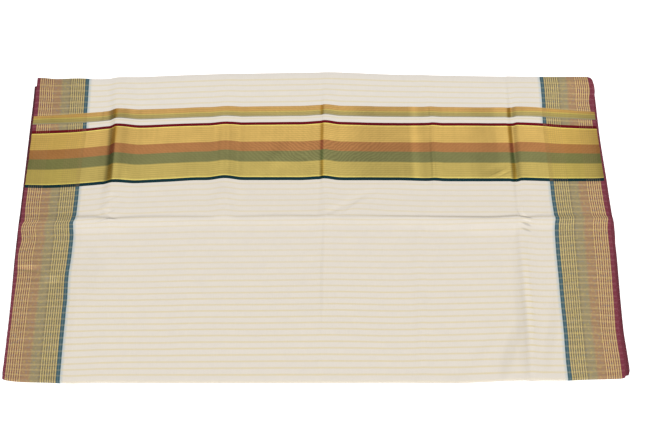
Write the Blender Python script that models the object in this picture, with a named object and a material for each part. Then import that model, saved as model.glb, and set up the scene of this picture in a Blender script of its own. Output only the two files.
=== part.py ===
"""A cotton saree folded in half three times and laid flat, with its end panel on top.

Metres, +Z up. X runs across the cloth from selvedge to selvedge, -Y is the near fold, and the
underside rests on Z = 0. The origin is the bottom centre of the whole stack.
"""

import math

import bmesh
import bpy
import numpy as np
from mathutils import Vector

MM = 0.001

# The cloth before folding: a loom width, and a length that three halvings turn into the depth.
CLOTH_WIDTH = 1.170
CLOTH_LENGTH = 5.500
HALVINGS = 3
FOLDED_DEPTH = CLOTH_LENGTH / 2**HALVINGS
HALF_WIDTH = CLOTH_WIDTH / 2
HALF_DEPTH = FOLDED_DEPTH / 2

# The stack, from the floor up: outer wall, hidden layers, third wall, second wall, outer wall.
GAP = 0.3 * MM
OUTER_WALL = 1.2 * MM
INNER_WALL = 1.0 * MM
HIDDEN_LAYER = 0.5 * MM
HIDDEN_LAYERS = 4
HIDDEN_BOTTOM = OUTER_WALL + GAP
HIDDEN_TOP = HIDDEN_BOTTOM + HIDDEN_LAYERS * HIDDEN_LAYER
THIRD_TOP = HIDDEN_TOP + GAP + INNER_WALL
SECOND_TOP = THIRD_TOP + GAP + INNER_WALL
STACK_HEIGHT = SECOND_TOP + GAP + OUTER_WALL
NEAR_FOLD_RADIUS = STACK_HEIGHT / 2

# How much of each ridge of the top layer the layers below it follow.
SECOND_FOLLOWS = 0.60
THIRD_FOLLOWS = 0.35
HIDDEN_FOLLOWS = 0.15

# How far the inner edges stay behind the near fold and the far end of the top layer.
SECOND_BEHIND_FOLD = 4.0 * MM
THIRD_BEHIND_FOLD = 3.2 * MM
HIDDEN_BEHIND_FOLD = 4.2 * MM
SECOND_SHORT_OF_END = 20.0 * MM
THIRD_SHORT_OF_END = 6.0 * MM
HIDDEN_SHORT_OF_END = 4.0 * MM
BOTTOM_SHORT_OF_END = 5.0 * MM
HIDDEN_BEHIND_SELVEDGE = 3.0 * MM
LAYER_GROOVE = 1.2 * MM

# How far the near fold and the far end bow outward from the folded depth, in mm. Places across
# are shares of the half width, from the left selvedge at -1 to the right one at 1.
NEAR_FOLD_COLUMNS = ("across", "outward")
NEAR_FOLD = (
    (-1.010, -6.8),
    (-0.995, 0.2),
    (-0.957, 4.2),
    (0.000, 6.2),
    (0.434, 5.2),
    (0.627, 1.8),
    (0.788, 0.0),
    (0.995, -1.8),
    (1.019, -9.8),
)
FAR_END_COLUMNS = ("across", "outward")
FAR_END = (
    (-1.010, -1.2),
    (-0.757, -1.8),
    (-0.703, 0.8),
    (-0.378, 7.8),
    (-0.051, 11.8),
    (0.168, 11.2),
    (0.275, 7.2),
    (0.675, 2.0),
    (1.019, 0.8),
)

# How far each layer's selvedges lie outward from the cloth's flat width, in mm, at shares of the
# depth from the near fold.
SIDE_COLUMNS = (
    "share",
    "top_left",
    "top_right",
    "second_left",
    "second_right",
    "third_left",
    "third_right",
)
SIDES = (
    (0.000, 3.0, -0.5, 0.0, 3.0, 0.5, 5.5),
    (0.030, 5.5, 1.5, 1.0, 7.0, 1.5, 10.2),
    (0.150, 3.0, 1.0, 0.5, 5.0, 1.0, 8.2),
    (0.250, 4.5, 1.5, 1.0, 7.0, 2.0, 9.7),
    (0.440, 5.0, 5.0, 3.0, 12.5, 2.0, 13.3),
    (0.510, 3.5, 7.5, 5.2, 14.5, 3.0, 11.0),
    (0.650, 1.5, 4.5, 5.0, 11.0, 3.5, 8.0),
    (0.800, 0.5, 3.0, 5.5, 8.5, 3.0, 6.0),
    (0.960, 0.0, 3.0, 5.0, 9.5, 3.0, 7.0),
    (1.000, -3.5, 1.0, 3.5, 7.5, 2.0, 5.0),
)

# The crease across the middle of the depth.
MIDDLE_CREASE_SHARE = 0.508

# The packing creases that run away from the near fold. Each leans as its near and far places say,
# as shares of the half width, and stands as high in mm as it does at the stations below. Flanks
# are in mm too.
STATIONS = (
    ("near", 0.00),
    ("lower", 0.30),
    ("below", 0.47),
    ("above", 0.54),
    ("band", 0.83),
    ("far", 1.00),
)
CREASE_COLUMNS = (
    "near_place",
    "far_place",
    "near",
    "lower",
    "below",
    "above",
    "band",
    "far",
    "left_flank",
    "right_flank",
)
CREASES = (
    (-0.692, -0.709, 0.6, 0.8, 1.6, 8.0, 12.0, 5.0, 16, 40),
    (-0.301, -0.313, 0.4, 0.5, 1.0, 8.0, 5.5, 4.0, 34, 36),
    (0.019, 0.058, 1.0, 3.0, 4.0, 8.0, 8.0, 5.0, 14, 34),
    (0.360, 0.385, 0.5, 3.4, 3.0, 3.0, 3.0, 1.4, 20, 24),
    (0.711, 0.711, 2.2, 6.4, 5.4, 4.0, 4.2, 3.0, 18, 30),
)

# The height of the crease across the middle, in mm at places across.
CREST_SHARPNESS = 1.5
MIDDLE_CREASE_FAR_FLANK = 7.0 * MM
MIDDLE_CREASE_NEAR_FLANK = 20.0 * MM
MIDDLE_CREASE_COLUMNS = ("across", "height")
MIDDLE_CREASE = (
    (-1.019, 2.4),
    (-0.752, 3.4),
    (-0.581, 2.8),
    (0.171, 2.8),
    (0.410, 4.8),
    (0.684, 4.8),
    (1.026, 2.6),
)

# Rows of the mesh: shares of the depth, besides those of the middle crease.
PLAIN_SHARES = (0.00, 0.04, 0.11, 0.20, 0.30, 0.39, 0.45, 0.54, 0.62, 0.72, 0.83, 0.91, 0.97, 1.00)
FLANK_STEPS = (0.0, 0.5, 1.0)
NEAR_FOLD_STEPS = 8
EDGE_INSETS = (0.0, 4.0, 30.0, 104.0)
SHADE_ANGLE = math.radians(50)

# Colour, roughness and metallic of each piece.
IVORY = ((0.78, 0.73, 0.64), 0.90, 0.0)
SELVEDGE_DARK = ((0.16, 0.03, 0.06), 0.88, 0.0)
SELVEDGE = ((0.25, 0.06, 0.11), 0.88, 0.0)
HIDDEN_CLOTH = ((0.70, 0.64, 0.54), 0.92, 0.0)


def clear_scene():
    for thing in list(bpy.data.objects):
        bpy.data.objects.remove(thing, do_unlink=True)


def column(table, names, name):
    """One named column of a table, as an array."""
    return np.array([row[names.index(name)] for row in table], dtype=float)


def along_x(table, names, name, x):
    """The named column's value in metres at x, read along the table's places across."""
    across = column(table, names, "across")
    return float(np.interp(x / HALF_WIDTH, across, column(table, names, name))) * MM


def selvedge_outward(name, share):
    """How far a layer's selvedge lies outward from the flat width at a share of the depth."""
    shares = column(SIDES, SIDE_COLUMNS, "share")
    return float(np.interp(share, shares, column(SIDES, SIDE_COLUMNS, name))) * MM


def crease_value(crease, name):
    return crease[CREASE_COLUMNS.index(name)]


def crest_x(crease, share):
    near = crease_value(crease, "near_place")
    far = crease_value(crease, "far_place")
    return (near + (far - near) * share) * HALF_WIDTH


def crest_height(crease, share):
    """How high a crease stands at a share of the depth, read along its stations."""
    shares = [station_share for name, station_share in STATIONS]
    heights = [crease_value(crease, name) for name, station_share in STATIONS]
    return float(np.interp(share, shares, heights)) * MM


def flank(crease, side):
    return crease_value(crease, f"{side}_flank") * MM


def bump(distance, width):
    """1 at the crest and 0 from one width away, with a soft foot and a narrow crest."""
    closeness = max(0.0, 1.0 - abs(distance) / width)
    return closeness**CREST_SHARPNESS


def depth_at(x, share):
    """Y at a share of the depth, between the near fold and the far end."""
    near = -HALF_DEPTH - along_x(NEAR_FOLD, NEAR_FOLD_COLUMNS, "outward", x)
    far = HALF_DEPTH + along_x(FAR_END, FAR_END_COLUMNS, "outward", x)
    return near + (far - near) * share


def ridge_height(x, share):
    """How far the top layer stands above the flat stack at x and a share of the depth."""
    height = 0.0
    for crease in CREASES:
        distance = x - crest_x(crease, share)
        width = flank(crease, "left") if distance < 0 else flank(crease, "right")
        height = max(height, crest_height(crease, share) * bump(distance, width))
    past = (share - MIDDLE_CREASE_SHARE) * FOLDED_DEPTH
    width = MIDDLE_CREASE_FAR_FLANK if past > 0 else MIDDLE_CREASE_NEAR_FLANK
    across = along_x(MIDDLE_CREASE, MIDDLE_CREASE_COLUMNS, "height", x) * bump(past, width)
    return max(height, across)


def places_across(share, left, right):
    """X of every mesh line at a share of the depth: both edges, and each crease with its flanks."""
    places = [left + inset * MM for inset in EDGE_INSETS]
    for crease in CREASES:
        crest = crest_x(crease, share)
        places += [crest - flank(crease, "left") * step for step in reversed(FLANK_STEPS)]
        places += [crest + flank(crease, "right") * step for step in FLANK_STEPS[1:]]
    places += [right - inset * MM for inset in reversed(EDGE_INSETS)]
    return places


def mesh_shares():
    """Shares of the depth of the mesh's rows, from the far end to the near fold."""
    crest = MIDDLE_CREASE_SHARE
    far_foot = MIDDLE_CREASE_FAR_FLANK / FOLDED_DEPTH
    near_foot = MIDDLE_CREASE_NEAR_FLANK / FOLDED_DEPTH
    crease_rows = (crest + far_foot, crest, crest - near_foot / 2, crest - near_foot)
    return sorted(PLAIN_SHARES + crease_rows, reverse=True)


def layer_rows(layer, top, follows, behind_fold, short_of_end):
    """Rows of points on the upper face of a flat layer, from its far edge to its near edge."""
    rows = []
    for share in mesh_shares():
        left = -HALF_WIDTH - selvedge_outward(f"{layer}_left", share)
        right = HALF_WIDTH + selvedge_outward(f"{layer}_right", share)
        row = []
        for x in places_across(share, left, right):
            near = depth_at(x, 0.0) + behind_fold
            far = depth_at(x, 1.0) - short_of_end
            y = min(max(depth_at(x, share), near), far)
            row.append(Vector((x, y, top + follows * ridge_height(x, share))))
        rows.append(row)
    return rows


def near_fold_rows(last_row):
    """Rows round the near fold, from just under the top layer down to the floor."""
    rows = []
    for step in range(1, NEAR_FOLD_STEPS + 1):
        angle = math.pi / 2 - math.pi * step / NEAR_FOLD_STEPS
        row = []
        for point in last_row:
            centre_y = depth_at(point.x, 0.0) + NEAR_FOLD_RADIUS
            y = centre_y - NEAR_FOLD_RADIUS * math.cos(angle)
            z = point.z / 2 + point.z / 2 * math.sin(angle)
            row.append(Vector((point.x, y, z)))
        rows.append(row)
    return rows


def outer_rows():
    """Rows along the outer face of the top layer, round the near fold and back under the stack."""
    rows = layer_rows("top", STACK_HEIGHT, 1.0, NEAR_FOLD_RADIUS, 0.0)
    rows += near_fold_rows(rows[-1])
    under = [Vector((p.x, depth_at(p.x, 1.0) - BOTTOM_SHORT_OF_END, 0.0)) for p in rows[-1]]
    return rows + [under]


def sheet_mesh(bm, rows):
    """A strip of quads between each row of points and the next, with the upper face outward."""
    lines = [[bm.verts.new(point) for point in row] for row in rows]
    for far, near in zip(lines, lines[1:]):
        for far_left, far_right, near_right, near_left in zip(far, far[1:], near[1:], near):
            bm.faces.new((near_left, near_right, far_right, far_left))
    return lines


def rim_of(lines):
    """The border of a grid of vertices, once round."""
    right_side = [line[-1] for line in lines[1:]]
    near_side = lines[-1][-2::-1]
    left_side = [line[0] for line in lines[-2:0:-1]]
    return list(lines[0]) + right_side + near_side + left_side


def inset_ring(bm, rim, centre, inset, z):
    """A ring like the rim, moved towards the centre by inset along X and Y, at height z."""
    ring = []
    left = min(v.co.x for v in rim)
    right = max(v.co.x for v in rim)
    for v in rim:
        share_x = (v.co.x - centre.x) / (right - left) * 2
        near = depth_at(v.co.x, 0.0)
        far = depth_at(v.co.x, 1.0)
        share_y = (v.co.y - (near + far) / 2) / (far - near) * 2
        ring.append(bm.verts.new((v.co.x - inset * share_x, v.co.y - inset * share_y, z)))
    return ring


def hidden_solid(bm, rows):
    """The hidden layers as one solid: a ridged top, a rim with a groove between layers, a flat base."""
    lines = sheet_mesh(bm, rows)
    rim = rim_of(lines)
    centre = sum((v.co for v in rim), Vector()) / len(rim)
    ring = rim
    for layer in reversed(range(HIDDEN_LAYERS)):
        middle_z = HIDDEN_BOTTOM + (layer + 0.5) * HIDDEN_LAYER
        bottom_z = HIDDEN_BOTTOM + layer * HIDDEN_LAYER
        for inset, z in ((-LAYER_GROOVE / 2, middle_z), (LAYER_GROOVE / 2, bottom_z)):
            below = inset_ring(bm, rim, centre, inset, z)
            bridge(bm, ring, below)
            ring = below
    bm.faces.new(ring)


def bridge(bm, upper, lower):
    count = len(upper)
    for i in range(count):
        following = (i + 1) % count
        bm.faces.new((upper[i], upper[following], lower[following], lower[i]))


def material(name, look):
    colour, roughness, metallic = look
    made = bpy.data.materials.new(name)
    made.use_nodes = True
    shader = made.node_tree.nodes["Principled BSDF"]
    shader.inputs["Base Color"].default_value = (*colour, 1.0)
    shader.inputs["Roughness"].default_value = roughness
    shader.inputs["Metallic"].default_value = metallic
    return made


def new_piece(name, bm, look):
    mesh = bpy.data.meshes.new(name)
    bm.to_mesh(mesh)
    bm.free()
    piece = bpy.data.objects.new(name, mesh)
    bpy.context.scene.collection.objects.link(piece)
    mesh.materials.append(material(f"{name}_cloth", look))
    mesh.shade_smooth()
    mesh.set_sharp_from_angle(angle=SHADE_ANGLE)
    return piece


def add_wall(piece, thickness):
    """Gives a sheet its thickness, inward from the face that was drawn."""
    wall = piece.modifiers.new("wall", "SOLIDIFY")
    wall.thickness = thickness
    wall.offset = -1.0
    wall.use_even_offset = True
    return piece


def outer_stretch():
    """The end panel on top, the near fold, and the panel that lies on the floor."""
    bm = bmesh.new()
    sheet_mesh(bm, outer_rows())
    return add_wall(new_piece("outer_stretch", bm, IVORY), OUTER_WALL)


def second_stretch():
    """The layer under the end panel: its selvedges show, and it ends short of the far end."""
    bm = bmesh.new()
    rows = layer_rows("second", SECOND_TOP, SECOND_FOLLOWS, SECOND_BEHIND_FOLD, SECOND_SHORT_OF_END)
    sheet_mesh(bm, rows)
    return add_wall(new_piece("second_stretch", bm, SELVEDGE), INNER_WALL)


def third_stretch():
    """The layer below that, whose selvedge shows along the lower right."""
    bm = bmesh.new()
    rows = layer_rows("third", THIRD_TOP, THIRD_FOLLOWS, THIRD_BEHIND_FOLD, THIRD_SHORT_OF_END)
    sheet_mesh(bm, rows)
    return add_wall(new_piece("third_stretch", bm, SELVEDGE_DARK), INNER_WALL)


def inner_layers():
    """The folded layers that never show, as one solid with a layered rim."""
    bm = bmesh.new()
    rows = layer_rows("third", HIDDEN_TOP, HIDDEN_FOLLOWS, HIDDEN_BEHIND_FOLD, HIDDEN_SHORT_OF_END)
    for row in rows:
        row[0].x += HIDDEN_BEHIND_SELVEDGE
        row[-1].x -= HIDDEN_BEHIND_SELVEDGE
    hidden_solid(bm, rows)
    return new_piece("inner_layers", bm, HIDDEN_CLOTH)


def centre_on_origin(pieces):
    """Moves every piece alike, so that the bottom centre of them all is the origin."""
    bpy.context.view_layer.update()
    found = bpy.context.evaluated_depsgraph_get()
    corners = []
    for piece in pieces:
        shown = piece.evaluated_get(found)
        corners += [shown.matrix_world @ Vector(corner) for corner in shown.bound_box]
    lowest = Vector([min(c[i] for c in corners) for i in range(3)])
    highest = Vector([max(c[i] for c in corners) for i in range(3)])
    middle = (lowest + highest) / 2
    for piece in pieces:
        piece.location = Vector((-middle.x, -middle.y, 0.0))


def main():
    clear_scene()
    pieces = [outer_stretch(), second_stretch(), third_stretch(), inner_layers()]
    centre_on_origin(pieces)


main()
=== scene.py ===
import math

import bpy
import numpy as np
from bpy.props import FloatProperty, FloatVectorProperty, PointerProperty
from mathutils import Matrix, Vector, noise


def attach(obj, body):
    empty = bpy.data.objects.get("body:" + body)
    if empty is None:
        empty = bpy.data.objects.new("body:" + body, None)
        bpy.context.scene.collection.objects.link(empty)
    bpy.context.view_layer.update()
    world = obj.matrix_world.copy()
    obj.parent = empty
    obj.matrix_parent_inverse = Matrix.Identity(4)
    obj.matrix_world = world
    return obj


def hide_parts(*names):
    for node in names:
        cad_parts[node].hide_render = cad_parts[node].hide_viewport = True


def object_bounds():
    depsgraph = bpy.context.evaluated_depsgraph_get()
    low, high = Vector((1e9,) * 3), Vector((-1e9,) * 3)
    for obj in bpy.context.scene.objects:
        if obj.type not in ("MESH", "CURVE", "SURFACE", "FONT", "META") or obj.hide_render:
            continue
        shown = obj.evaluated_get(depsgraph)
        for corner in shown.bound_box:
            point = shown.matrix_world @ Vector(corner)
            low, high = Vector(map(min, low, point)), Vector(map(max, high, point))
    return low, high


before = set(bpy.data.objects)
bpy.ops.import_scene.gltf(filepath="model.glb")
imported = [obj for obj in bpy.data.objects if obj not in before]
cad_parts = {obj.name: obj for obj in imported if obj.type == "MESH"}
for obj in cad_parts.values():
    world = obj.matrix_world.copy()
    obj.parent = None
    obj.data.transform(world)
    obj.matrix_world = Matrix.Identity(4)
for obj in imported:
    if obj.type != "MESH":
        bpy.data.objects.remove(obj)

# Looks of a cotton saree that is folded in half three times and laid flat on a pale floor.
#
# Metres, +Z up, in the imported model's own frame: the near fold faces -Y, and the end panel lies on
# top. Each stretch of cloth is a fine grid that is shaped by the folds and creases in the tables
# below, and then given its thickness. The tables are in millimetres. A place on the flat cloth is
# its x, from the middle, and how far away it lies, towards +Y. The same place as woven is across,
# from the middle, and its length or run, from the far end.

bl_info = {
    "name": "Folded cotton saree",
    "version": (1, 0, 0),
    "blender": (4, 5, 0),
    "location": "3D View > Sidebar > Saree",
    "description": "Dresses a folded cotton saree in its woven cloth, with its stage and lights",
    "category": "Object",
}

CAD_LOW, CAD_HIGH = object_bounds()
MM = 0.001

# The cloth as woven: half its width, and how far from the selvedge the plain selvedge, the teal
# line and the pale edge of the ground end.
HALF_WIDTH = 585.0
SELVEDGE_INSET = 7.7
TEAL_INSET = 107.2
GROUND_INSET = 116.0
WEAVE_MAP = "weave"

# The middle of the flat cloth, found from how far the layers reach to the left and towards -Y.
LEFT_REACH = 590.5
NEAR_REACH = 350.0
MIDDLE = Vector((CAD_LOW.x + LEFT_REACH * MM, CAD_LOW.y + NEAR_REACH * MM, 0.0))


def table(names, *rows):
    """A table with named columns, as one array for each name."""
    columns = zip(*rows)
    return {name: np.array(column, dtype=float) for name, column in zip(names.split(), columns)}


# How the length of the cloth lies along the depth, between its creases.
LAY = table(
    "length away",
    (-3.0, 358.0),
    (0.0, 355.0),
    (271.0, 84.0),
    (350.4, 8.4),
    (376.9, -11.7),
    (416.6, -55.0),
    (706.2, -344.5),
)

# How far the weft lies out of true, at places across and at ten depths.
WEFT_DEPTHS = {
    "end": 355.0,
    "narrow": 262.0,
    "band": 228.0,
    "foot": 96.0,
    "crease": 16.0,
    "below": -14.0,
    "lower": -150.0,
    "low": -250.0,
    "near": -305.0,
    "fold": -345.0,
}
WEFT = table(
    "across end narrow band foot crease below lower low near fold",
    (-592, -11.5, -19.5, -21.5, -15.5, -18.0, -9.3, -5.0, -1.5, -3.0, 12.0),
    (-580, -11.5, -19.0, -21.5, -16.0, -18.0, -9.0, -4.5, -2.5, -3.5, 7.5),
    (-545, -14.5, -17.5, -20.3, -17.0, -17.5, -8.5, -3.5, -2.8, -4.0, 4.0),
    (-500, -13.0, -16.3, -18.0, -15.0, -16.0, -7.2, -2.0, -2.0, -4.5, 2.7),
    (-455, -15.0, -14.0, -13.0, -11.3, -12.5, -5.8, -2.0, -1.2, -2.9, 0.5),
    (-432, -14.0, -11.8, -9.9, -8.8, -9.6, -5.2, -2.6, -0.4, -2.0, 1.2),
    (-410, -11.5, -9.0, -8.4, -8.0, -7.0, -4.5, -3.3, 0.4, -1.0, 2.0),
    (-350, -9.0, -8.2, -7.3, -5.8, -5.0, -3.3, -3.0, 0.5, 0.2, 1.5),
    (-290, -6.0, -6.0, -4.0, -2.2, -2.5, -1.8, -1.5, 0.5, 0.4, 1.0),
    (-230, -3.3, -3.0, -2.0, 1.0, -0.8, 0.3, -0.3, 2.2, 0.9, 0.7),
    (-110, -1.0, -1.6, -0.3, 1.0, -0.8, 0.3, 0.5, 1.7, 1.7, 0.3),
    (40, 1.5, 0.0, 0.2, 0.0, 0.5, 1.2, 2.0, 2.8, 2.2, 0.2),
    (160, -4.0, -2.2, -2.8, -0.5, -1.0, 1.0, 0.0, 0.3, 1.4, 0.3),
    (250, -6.5, -3.0, -3.0, -3.0, -4.0, 0.2, 1.5, 2.0, 2.9, -1.0),
    (400, -10.0, -4.3, -3.6, -3.2, -4.5, 2.5, 3.7, 5.5, 5.4, 4.2),
    (460, -11.0, -3.0, -4.2, -3.6, -5.5, 0.7, 3.2, 4.7, 4.8, 3.7),
    (520, -11.0, -6.0, -9.0, -3.5, -3.7, 2.2, 6.0, 5.2, 4.4, 6.0),
    (575, -11.0, -9.5, -11.3, -3.2, -5.0, 3.3, 4.5, 2.0, 3.7, 7.5),
    (592, -11.0, -10.0, -11.5, -1.5, -6.0, 3.0, 4.5, 3.0, 4.0, 11.0),
)

# Where the top layer's border lies at each depth: its selvedge, the edge between selvedge and
# gold lines, and the inner edge of the teal line, left and right of the middle.
BORDER_INSETS = (0.0, SELVEDGE_INSET, TEAL_INSET)
BORDERS = table(
    "away left left_gold left_teal right_teal right_gold right",
    (352, -586.0, -579.8, -476.3, 478.9, 581.2, 590.2),
    (326, -586.2, -578.8, -475.3, 479.1, 582.2, 593.4),
    (290, -585.3, -577.4, -474.6, 478.9, 577.8, 588.4),
    (254, -585.0, -577.1, -473.6, 476.8, 580.0, 587.0),
    (218, -584.9, -576.9, -471.9, 475.7, 580.0, 587.6),
    (170, -585.2, -578.0, -474.8, 477.0, 581.0, 588.5),
    (110, -586.2, -579.5, -476.0, 478.6, 582.5, 590.0),
    (50, -587.0, -580.5, -476.1, 479.3, 583.7, 590.8),
    (16, -585.6, -578.4, -476.8, 480.4, 586.0, 592.2),
    (2, -589.3, -583.4, -480.4, 482.1, 588.2, 594.5),
    (-10, -590.0, -584.6, -480.0, 480.5, 586.8, 593.4),
    (-34, -587.5, -581.0, -478.5, 478.8, 585.0, 592.0),
    (-70, -589.0, -584.9, -478.6, 478.0, 584.5, 591.5),
    (-118, -588.0, -581.4, -480.8, 477.7, 583.2, 590.0),
    (-178, -587.9, -583.1, -479.3, 477.4, 580.7, 588.0),
    (-250, -587.8, -583.4, -479.4, 477.6, 577.7, 585.6),
    (-310, -588.2, -583.7, -479.1, 476.5, 579.5, 586.5),
    (-345, -587.5, -584.0, -478.6, 477.2, 580.0, 586.5),
)

# Where the selvedges of the layers below lie.
LOWER_SELVEDGES = table(
    "away second_left second_right third_left third_right",
    (355, -590.6, 590.0, -586.5, 588.0),
    (318, -590.1, 592.3, -588.0, 590.0),
    (240, -590.3, 592.0, -588.4, 590.2),
    (100, -590.3, 595.6, -588.4, 593.0),
    (16, -590.4, 598.0, -588.6, 596.5),
    (0, -591.0, 599.6, -588.8, 597.5),
    (-60, -590.7, 596.0, -588.4, 598.0),
    (-120, -589.5, 592.5, -587.2, 596.5),
    (-180, -588.4, 590.5, -586.8, 594.6),
    (-240, -588.0, 589.5, -586.6, 593.6),
    (-300, -588.2, 591.5, -587.0, 595.6),
    (-330, -588.8, 590.0, -587.4, 596.2),
    (-350, -587.0, 588.0, -586.0, 591.6),
)

# The packing ridges that run away from the near fold: their crest wanders, and their height, their
# flanks and how far and how wide they pull the weft away change along the depth.
RIDGE_NAMES = "away across height left_flank right_flank pull pull_left pull_right"
RIDGES = (
    table(
        RIDGE_NAMES,
        (355, -416, 2.5, 24, 50, 0.0, 40, 40),
        (310, -414, 4.6, 21, 50, 0.0, 40, 40),
        (262, -412, 5.8, 18, 48, 0.0, 40, 40),
        (228, -410, 8.4, 16, 52, 0.0, 40, 40),
        (180, -409, 9.8, 15.5, 52, 0.0, 40, 40),
        (130, -409, 9.2, 16, 50, 0.0, 40, 40),
        (100, -409, 7.6, 18, 50, 0.0, 40, 40),
        (60, -409, 6.5, 26, 46, 0.0, 40, 40),
        (18, -410, 5.0, 28, 44, 0.0, 40, 40),
        (-8, -408, 2.5, 24, 36, 0.0, 40, 40),
        (-32, -406, 0.8, 20, 30, 0.0, 40, 40),
        (-348, -404, 0.2, 20, 30, 0.0, 40, 40),
    ),
    table(
        RIDGE_NAMES,
        (355, -183, 0.3, 40, 40, 0.4, 38, 38),
        (300, -183, 0.8, 40, 40, 1.5, 38, 38),
        (225, -182, 1.0, 40, 38, 2.4, 38, 38),
        (95, -182, 1.6, 40, 36, 4.1, 38, 38),
        (50, -182, 4.5, 40, 36, 2.3, 38, 38),
        (12, -181, 4.5, 40, 36, 1.0, 38, 38),
        (-8, -180, 1.5, 36, 34, 0.0, 38, 38),
        (-32, -178, 0.3, 30, 30, 0.0, 38, 38),
        (-348, -176, 0.2, 30, 30, 0.0, 38, 38),
    ),
    table(
        RIDGE_NAMES,
        (355, 25, 1.0, 18, 60, 0.2, 52, 34),
        (310, 24, 1.8, 14, 50, 1.2, 52, 34),
        (262, 23, 2.4, 12, 44, 2.5, 52, 32),
        (228, 21.5, 2.5, 11.5, 42, 3.0, 52, 32),
        (95, 19, 2.5, 11.5, 42, 3.0, 52, 32),
        (55, 24, 3.0, 18, 42, 1.9, 52, 34),
        (12, 26, 4.0, 26, 40, 0.5, 52, 34),
        (-10, 24, 2.0, 30, 40, 0.0, 52, 34),
        (-60, 22, 1.2, 26, 44, 0.0, 52, 34),
        (-200, 16, 0.5, 24, 46, 0.0, 52, 34),
        (-348, 11, 0.3, 24, 40, 0.0, 52, 34),
    ),
    table(
        RIDGE_NAMES,
        (355, 228, 0.8, 24, 26, 0.0, 24, 24),
        (262, 243, 1.1, 12, 26, 0.5, 22, 22),
        (228, 246, 1.1, 10, 26, 0.9, 22, 22),
        (96, 244, 1.0, 10, 26, 0.8, 22, 22),
        (50, 235, 1.0, 18, 26, 0.0, 22, 22),
        (-60, 206, 1.6, 22, 24, 0.0, 22, 22),
        (-200, 206, 2.2, 18, 22, 0.0, 22, 22),
        (-348, 205, 1.4, 18, 20, 0.0, 22, 22),
    ),
    table(
        RIDGE_NAMES,
        (355, 412, 1.0, 8, 90, 0.0, 40, 40),
        (310, 412, 2.2, 8.0, 90, -2.0, 14, 12),
        (228, 411.5, 3.5, 10.0, 90, -2.6, 12, 11),
        (95, 411, 3.2, 10.0, 90, -2.9, 14, 12),
        (20, 410, 2.8, 8, 70, 0.0, 30, 30),
        (-10, 410, 3.4, 13, 46, 0.6, 36, 36),
        (-120, 411, 4.6, 14, 32, 0.3, 34, 34),
        (-220, 411, 4.8, 14, 28, 0.0, 34, 34),
        (-348, 409, 3.0, 13, 23, 0.0, 34, 34),
    ),
)

# A slanting wrinkle beyond the crease, which pulls the weft away from the near fold on its right.
WRINKLE = table(
    "away across pull pull_left pull_right",
    (-8, 46, 0.0, 20, 60),
    (6, 63, 2.2, 24, 75),
    (20, 79, 4.4, 26, 85),
    (40, 91, 4.4, 28, 85),
    (60, 113, 2.6, 30, 80),
    (84, 140, 0.0, 34, 70),
)

# The crease across the middle of the depth: where its crest lies, how high it stands and how wide
# its steep far side is. A long gentle slope lies beyond it, and a soft one on its near side. The
# grid's rows lie close together at these steps from its crest.
CREASE_AWAY = 3.0
CREASE_STEPS = (
    *(-60, -45, -36, -30, -26, -22.5, -19.5, -17, -14.5, -12, -10, -8, -6, -4.2, -2.5, -1),
    *(0.5, 2.2, 4, 6, 8.5, 11, 14, 17, 20.5, 24, 28, 35),
)
CREASE_SLOPE = 70.0
CREASE_SLOPE_SHARE = 0.3
CREASE = table(
    "across away height far_flank near_flank",
    (-595, 2.0, 4.0, 10.0, 28.0),
    (-480, 0.0, 7.2, 13.0, 31.0),
    (-440, 0.5, 7.4, 12.5, 31.0),
    (-415, -1.0, 8.0, 9.0, 28.0),
    (-402, -2.0, 7.0, 8.0, 27.0),
    (-385, 0.5, 5.6, 9.0, 25.0),
    (-340, 3.0, 4.2, 9.0, 23.0),
    (-300, 4.0, 3.8, 8.5, 22.0),
    (-180, 4.0, 2.6, 7.5, 22.0),
    (-60, 5.5, 3.4, 9.0, 22.0),
    (20, 4.0, 3.8, 9.0, 22.0),
    (60, 4.5, 2.8, 9.0, 22.0),
    (100, 4.5, 2.8, 9.0, 22.0),
    (160, 3.5, 4.6, 8.0, 24.0),
    (250, 1.5, 6.2, 8.5, 28.0),
    (350, -1.5, 8.4, 10.0, 35.0),
    (390, 0.5, 8.4, 10.0, 36.0),
    (404, 1.5, 8.6, 10.0, 34.0),
    (418, -0.5, 8.0, 8.0, 26.0),
    (434, -0.5, 6.0, 9.0, 22.0),
    (450, 0.5, 5.4, 12.0, 22.0),
    (600, 1.0, 4.4, 9.0, 24.0),
)

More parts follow.
